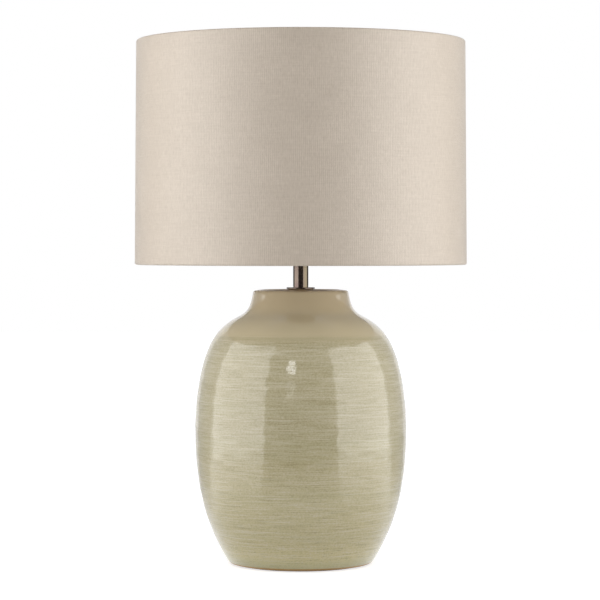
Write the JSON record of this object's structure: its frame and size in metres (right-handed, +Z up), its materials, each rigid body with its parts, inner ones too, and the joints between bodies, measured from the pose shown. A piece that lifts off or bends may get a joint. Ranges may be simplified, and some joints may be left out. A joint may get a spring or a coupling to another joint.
{
  "type": "table lamp",
  "caption": "Glazed stoneware ginger jar table lamp with a brass stem and a tapered linen drum shade that turns and lifts off its lampholder.",
  "frame": {"origin": "centre of the underside of the felt pad, where the lamp stands on the table", "axes": "+Z up along the stem, +Y towards the back, where the flex inlet and the shade's seam are"},
  "size_m": [0.35, 0.3506, 0.5523],
  "materials": {
    "celadon_glaze": "gloss",
    "pad_felt": "matte",
    "bush_plastic": "satin",
    "zinc_steel": "satin",
    "soft_rubber": "matte",
    "antique_brass": "satin",
    "white_porcelain": "satin",
    "bright_brass": "polished",
    "black_phenolic": "satin",
    "white_steel": "satin",
    "natural_linen": "matte",
    "white_liner": "satin",
    "nickel_plate": "polished",
    "black_glass": "gloss",
    "white_plastic": "satin",
    "driver_resin": "satin",
    "board_aluminium": "satin",
    "opal_plastic": "satin"
  },
  "bodies": {
    "base": {"base_pad": "pad_felt", "jar_body": "celadon_glaze", "flex_bush": "bush_plastic", "threaded_rod": "zinc_steel", "floor_cushion": "soft_rubber", "base_washer": "zinc_steel", "lock_washer": "zinc_steel", "base_nut": "zinc_steel", "neck_cushion": "soft_rubber", "check_plate": "antique_brass", "stem_tube": "antique_brass", "holder_cap": "antique_brass", "holder_grub_screw": "zinc_steel", "holder_insert": "white_porcelain", "terminal_blocks": "bright_brass", "terminal_screws": "bright_brass", "screw_shell": "bright_brass", "centre_contact": "bright_brass", "holder_sleeve": "black_phenolic"},
    "seat_ring": {"seat_ring": "black_phenolic"},
    "shade": {"fitter_plate": "white_steel", "fitter_spokes": "white_steel", "shade_linen": "natural_linen", "shade_seam": "natural_linen", "shade_liner": "white_liner", "shade_bottom_hoop": "white_steel", "shade_top_hoop": "white_steel"},
    "clamp_ring": {"clamp_ring": "black_phenolic"},
    "bulb": {"bulb_contact": "nickel_plate", "bulb_insulator": "black_glass", "bulb_cap": "nickel_plate", "bulb_collar": "white_plastic", "led_driver": "driver_resin", "led_board": "board_aluminium", "bulb_globe": "opal_plastic"}
  },
  "joints": [
    {"name": "shade_turn", "type": "hinge", "parent": "base", "child": "seat_ring", "pos_m": [0, 0, 0.3711], "axis": [0, 0, 1], "continuous": true},
    {"name": "shade_lift", "type": "slide", "parent": "seat_ring", "child": "shade", "axis": [0, 0, 1], "range_m": [0, 0.17]},
    {"name": "clamp_ring_turn", "type": "hinge", "parent": "shade", "child": "clamp_ring", "pos_m": [0, 0, 0.3799], "axis": [0, 0, 1], "range_deg": [0, 1080]},
    {"name": "bulb_turn", "type": "hinge", "parent": "base", "child": "bulb", "pos_m": [0, 0, 0.3893], "axis": [0, 0, 1], "range_deg": [0, 1440]}
  ]
}
